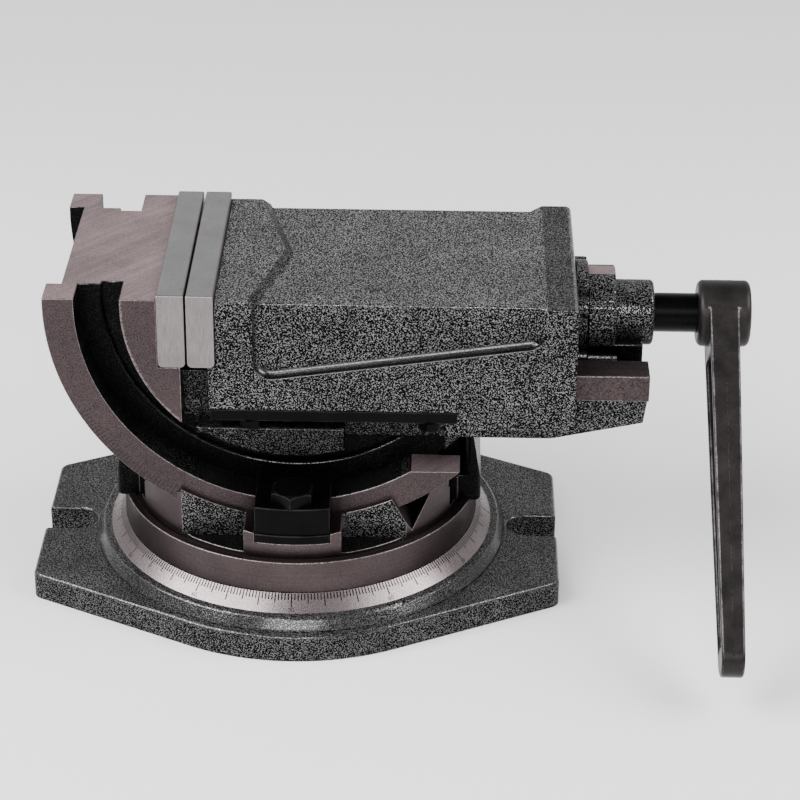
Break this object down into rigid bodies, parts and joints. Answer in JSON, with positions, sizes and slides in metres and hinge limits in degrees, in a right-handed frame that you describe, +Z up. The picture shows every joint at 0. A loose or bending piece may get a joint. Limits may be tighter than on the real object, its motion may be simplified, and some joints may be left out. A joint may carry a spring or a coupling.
{
  "type": "machine vise",
  "caption": "Universal milling vise: a swivel base, a turntable with a concave seat, and a vise body that tilts in it; its jaw is driven by a screw and crank.",
  "frame": {"origin": "on the swivel axis, at the base plate's bottom face", "axes": "+X along the screw towards the crank, -Y towards the front, +Z up, away from the machine table"},
  "size_m": [0.2905, 0.2125, 0.1417],
  "materials": {
    "hammertone_paint": "dark grey hammertone enamel on cast iron",
    "machined_iron": "turned and milled grey iron, cast faces painted",
    "ground_steel": "ground, fine scratches",
    "bare_steel": "turned",
    "black_oxide": "black oxide, oiled",
    "black_steel": "polished black oxide",
    "phosphated_steel": "satin phosphate on a forging",
    "bronze": "cast bronze, turned"
  },
  "bodies": {
    "base": {"base_plate": "hammertone_paint", "pivot_pin": "bare_steel"},
    "table": {"turntable": "machined_iron", "swivel_t_bolts": "black_oxide", "swivel_washers": "black_oxide", "front_tilt_clamp": "black_oxide", "rear_tilt_clamp": "black_oxide"},
    "left_nut": {"left_swivel_nut": "black_oxide"},
    "right_nut": {"right_swivel_nut": "black_oxide"},
    "front_bolt": {"front_clamp_bolt": "black_oxide"},
    "rear_bolt": {"rear_clamp_bolt": "black_oxide"},
    "vise": {"vise_body": "machined_iron", "fixed_jaw_plate": "ground_steel", "fixed_jaw_screws": "black_oxide", "screw_nut": "bronze", "screw_nut_bolts": "black_oxide"},
    "jaw": {"movable_jaw": "hammertone_paint", "movable_jaw_plate": "ground_steel", "movable_jaw_screws": "black_oxide", "front_keeper_strip": "black_oxide", "rear_keeper_strip": "black_oxide", "front_keeper_bolts": "black_oxide", "rear_keeper_bolts": "black_oxide", "thrust_housing": "hammertone_paint", "thrust_housing_screws": "black_oxide", "inner_thrust_washer": "bronze", "outer_thrust_washer": "bronze"},
    "screw": {"lead_screw": "black_steel", "thrust_collar": "bare_steel", "collar_pin": "bare_steel", "crank_handle": "phosphated_steel", "crank_pin": "bare_steel"}
  },
  "joints": [
    {"name": "swivel", "type": "hinge", "parent": "base", "child": "table", "pos_m": [0, 0, 0.0223], "axis": [0, 0, 1], "continuous": true},
    {"name": "tilt", "type": "hinge", "parent": "table", "child": "vise", "pos_m": [0, 0, 0.1362], "axis": [0, -1, 0], "range_deg": [0, 90]},
    {"name": "jaw_slide", "type": "slide", "parent": "vise", "child": "jaw", "axis": [1, 0, 0], "range_m": [0, 0.08]},
    {"name": "screw_turn", "type": "hinge", "parent": "jaw", "child": "screw", "pos_m": [0.15, 0, 0.1133], "axis": [1, 0, 0], "range_deg": [0, 7200]},
    {"name": "left_nut_turn", "type": "hinge", "parent": "table", "child": "left_nut", "pos_m": [-0.06, 0, 0.053], "axis": [0, 0, 1], "range_deg": [0, 360]},
    {"name": "right_nut_turn", "type": "hinge", "parent": "table", "child": "right_nut", "pos_m": [0.06, 0, 0.053], "axis": [0, 0, 1], "range_deg": [0, 360]},
    {"name": "front_bolt_turn", "type": "hinge", "parent": "table", "child": "front_bolt", "pos_m": [0, -0.0595, 0.06], "axis": [0, 0, 1], "range_deg": [0, 360]},
    {"name": "rear_bolt_turn", "type": "hinge", "parent": "table", "child": "rear_bolt", "pos_m": [0, 0.0595, 0.06], "axis": [0, 0, 1], "range_deg": [0, 360]}
  ],
  "couplings": [
    {"joint": "screw_turn", "follows": "jaw_slide", "rad_per_m": 1570.8}
  ]
}
